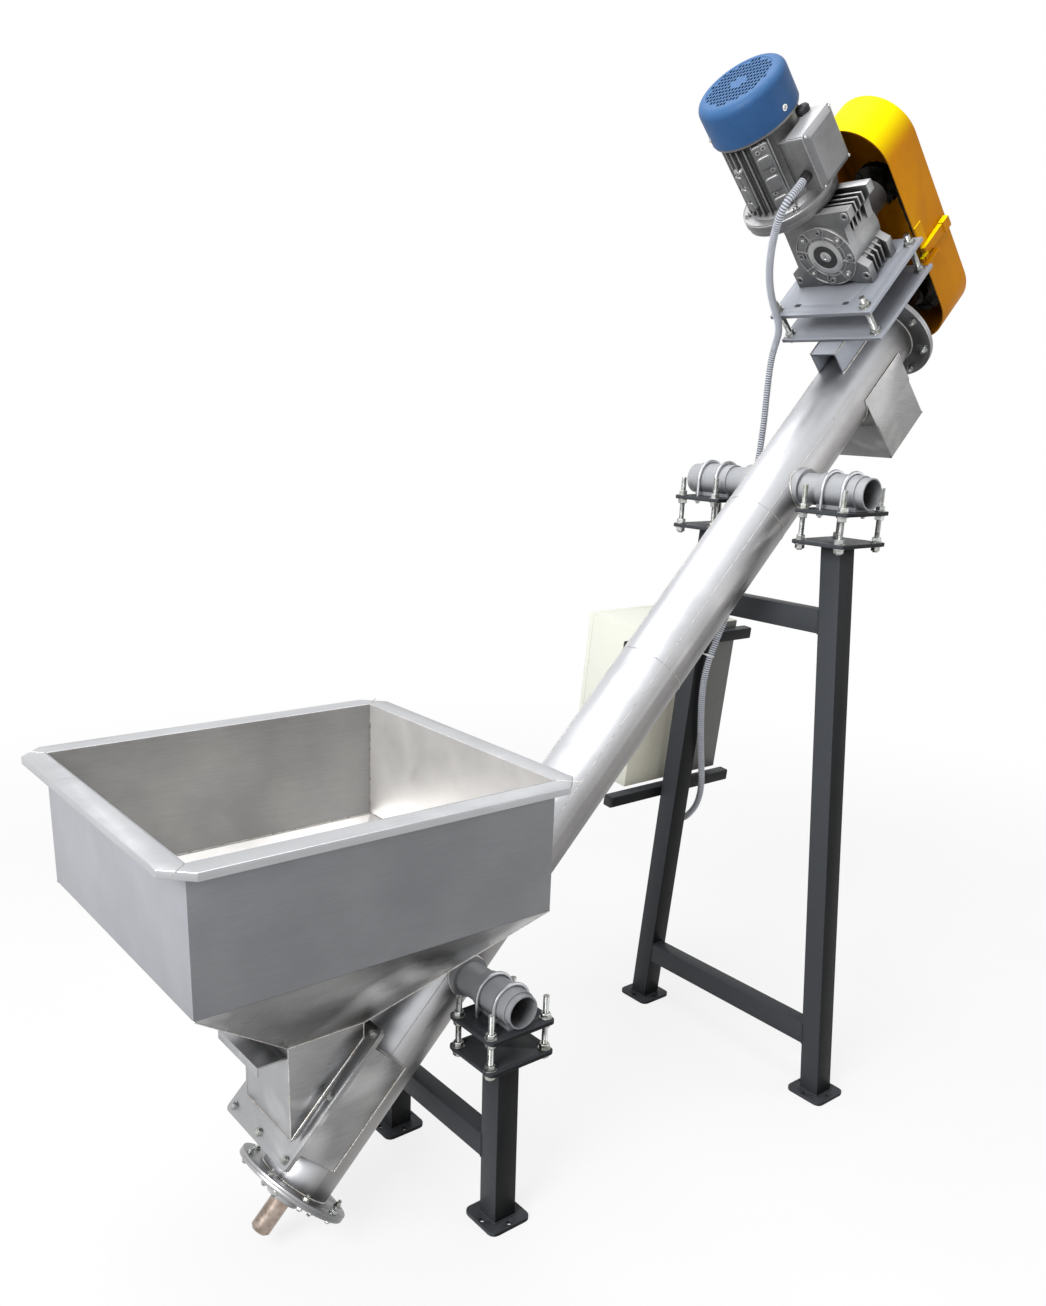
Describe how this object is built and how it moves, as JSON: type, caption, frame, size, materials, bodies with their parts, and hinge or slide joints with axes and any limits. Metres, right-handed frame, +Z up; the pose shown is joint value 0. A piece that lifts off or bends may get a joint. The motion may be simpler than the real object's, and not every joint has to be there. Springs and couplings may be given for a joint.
{
  "type": "inclined tube screw conveyor",
  "caption": "Inclined tubular screw conveyor with feed hopper, slide gate, two stands, discharge chute and guarded chain drive with worm gearmotor.",
  "frame": {"origin": "centre of the conveyor's box on the floor, measured without the free conduit", "axes": "+X along the conveyor from the hopper to the discharge, +Y to its left, +Z up"},
  "size_m": [3.1478, 1.2386, 3.3507],
  "materials": {
    "stainless": "brushed stainless sheet, satin",
    "tube_steel": "satin stainless tube with weld seams",
    "stand_paint": "dark anthracite powder coat",
    "light_paint": "light grey paint",
    "zinc": "zinc plated fasteners",
    "screw_steel": "plain worn steel",
    "gear_cast": "cast aluminium, matt grey",
    "seal_rubber": "black oil seal",
    "black_steel": "black oiled steel",
    "guard_yellow": "safety yellow powder coat",
    "fan_blue": "blue enamel",
    "cabinet_cream": "pale structured powder coat",
    "conduit_grey": "corrugated grey plastic",
    "black_plastic": "black moulded plastic"
  },
  "bodies": {
    "frame": {"cabinet_body": "cabinet_cream", "cabinet_channels": "stand_paint", "cabinet_door": "cabinet_cream", "chain_guard": "guard_yellow", "clamp_plates": "stand_paint", "conduit": "conduit_grey", "conduit_glands": "black_plastic", "conveyor_tube": "tube_steel", "discharge_chute": "tube_steel", "drive_base_plate": "light_paint", "drive_chain": "black_steel", "end_bearings": "gear_cast", "end_plates": "tube_steel", "fan_cover": "fan_blue", "foot_plates": "stand_paint", "front_crossbar": "stand_paint", "front_left_leg": "stand_paint", "front_right_leg": "stand_paint", "gearbox_housing": "gear_cast", "head_plates": "stand_paint", "head_studs": "zinc", "hopper_box": "stainless", "hopper_rim": "stainless", "hopper_transition": "stainless", "inlet_box": "tube_steel", "inlet_flange": "tube_steel", "motor_body": "gear_cast", "motor_plate": "light_paint", "oil_seal": "seal_rubber", "plate_studs": "zinc", "rear_left_leg": "stand_paint", "rear_lower_crossbar": "stand_paint", "rear_right_leg": "stand_paint", "rear_upper_crossbar": "stand_paint", "saddle_tube": "tube_steel", "terminal_box": "gear_cast", "terminal_lid": "gear_cast", "throat": "stainless", "throat_flange": "stainless", "trunnion_sleeves": "light_paint", "trunnions": "light_paint", "tube_end_flanges": "tube_steel", "u_bolts": "zinc"},
    "gate": {"slide_gate": "stainless"},
    "screw": {"screw_shaft": "screw_steel", "screw_flight": "screw_steel", "driven_sprocket": "black_steel"},
    "output": {"output_shaft": "screw_steel", "drive_sprocket": "black_steel"}
  },
  "joints": [
    {"name": "gate_slide", "type": "slide", "parent": "frame", "child": "gate", "axis": [-1, 0, 0], "range_m": [0, 0.22]},
    {"name": "screw_spin", "type": "hinge", "parent": "frame", "child": "screw", "pos_m": [0.14139, -0.11031, 1.43868], "axis": [0.6947, 0, 0.7193], "continuous": true},
    {"name": "output_spin", "type": "hinge", "parent": "frame", "child": "output", "pos_m": [1.02882, -0.11031, 2.94498], "axis": [0.6947, 0, 0.7193], "continuous": true}
  ],
  "couplings": [
    {"joint": "output_spin", "follows": "screw_spin", "ratio": 1.2353}
  ]
}
